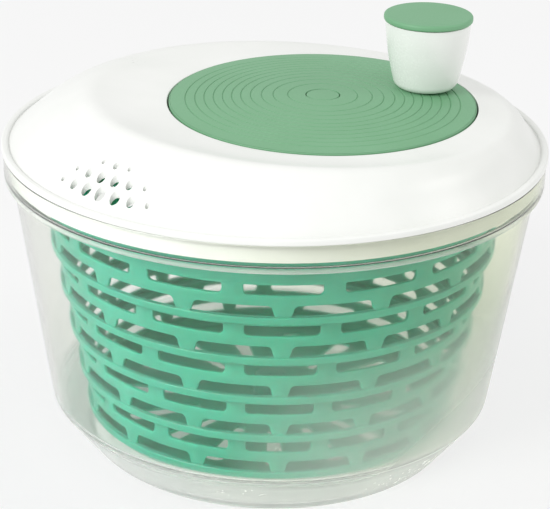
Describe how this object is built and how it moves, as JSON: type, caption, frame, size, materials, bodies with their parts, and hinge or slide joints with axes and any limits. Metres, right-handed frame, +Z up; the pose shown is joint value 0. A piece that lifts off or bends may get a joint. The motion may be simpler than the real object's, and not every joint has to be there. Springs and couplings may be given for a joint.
{
  "type": "salad spinner",
  "caption": "Hand-cranked salad spinner: clear tapered bowl, slotted lift-out basket, and a sloping lid with an off-centre crank disc that drives the basket through a ring gear.",
  "frame": {"origin": "centre of the bowl's foot ring, on the surface it stands on", "axes": "+Z up along the bowl's axis; +X from the bowl's axis towards the axis of the off-centre crank disc"},
  "size_m": [0.26, 0.26, 0.2108],
  "materials": {
    "clear_bowl": "clear, faintly green",
    "basket_teal": "satin moulded",
    "lid_white": "semi-gloss",
    "disc_green": "fine matte",
    "acetal": "as moulded",
    "steel": "plain"
  },
  "bodies": {
    "bowl": {"bowl": "clear_bowl", "pivot_pin": "steel"},
    "pivot": {"pivot_cup": "acetal"},
    "basket": {"basket": "basket_teal"},
    "lid": {"lid_shell": "lid_white", "gear_cover": "lid_white", "cover_screw_1": "steel", "cover_screw_2": "steel", "cover_screw_3": "steel", "cover_screw_4": "steel", "pinion_bush": "acetal", "crank_axle": "steel", "axle_washer": "acetal", "axle_clip": "steel"},
    "driver": {"drive_pinion": "acetal", "drive_plate": "lid_white", "drive_plate_screw": "steel"},
    "crank": {"crank_disc": "disc_green", "disc_cap": "disc_green", "ring_gear": "acetal", "ring_gear_screw_1": "steel", "ring_gear_screw_2": "steel", "ring_gear_screw_3": "steel", "ring_gear_screw_4": "steel", "knob_axle": "steel", "knob_clip": "steel"},
    "knob": {"knob_bush": "acetal", "knob_body": "lid_white", "knob_cap": "disc_green"}
  },
  "joints": [
    {"name": "basket_lift", "type": "slide", "parent": "bowl", "child": "pivot", "axis": [0, 0, 1], "range_m": [0, 0.165]},
    {"name": "basket_spin", "type": "hinge", "parent": "pivot", "child": "basket", "pos_m": [0, 0, 0.08], "axis": [0, 0, 1], "continuous": true},
    {"name": "lid_lift", "type": "slide", "parent": "pivot", "child": "lid", "axis": [0, 0, 1], "range_m": [0, 0.12]},
    {"name": "crank_turn", "type": "hinge", "parent": "lid", "child": "crank", "pos_m": [0.0225, 0, 0.17], "axis": [0, 0, 1], "continuous": true},
    {"name": "driver_spin", "type": "hinge", "parent": "lid", "child": "driver", "pos_m": [0, 0, 0.15], "axis": [0, 0, 1], "continuous": true},
    {"name": "knob_spin", "type": "hinge", "parent": "crank", "child": "knob", "pos_m": [0.06726, 0.02819, 0.19], "axis": [0, 0, 1], "continuous": true}
  ],
  "couplings": [
    {"joint": "driver_spin", "follows": "crank_turn", "ratio": 3.5},
    {"joint": "basket_spin", "follows": "crank_turn", "ratio": 3.5}
  ]
}
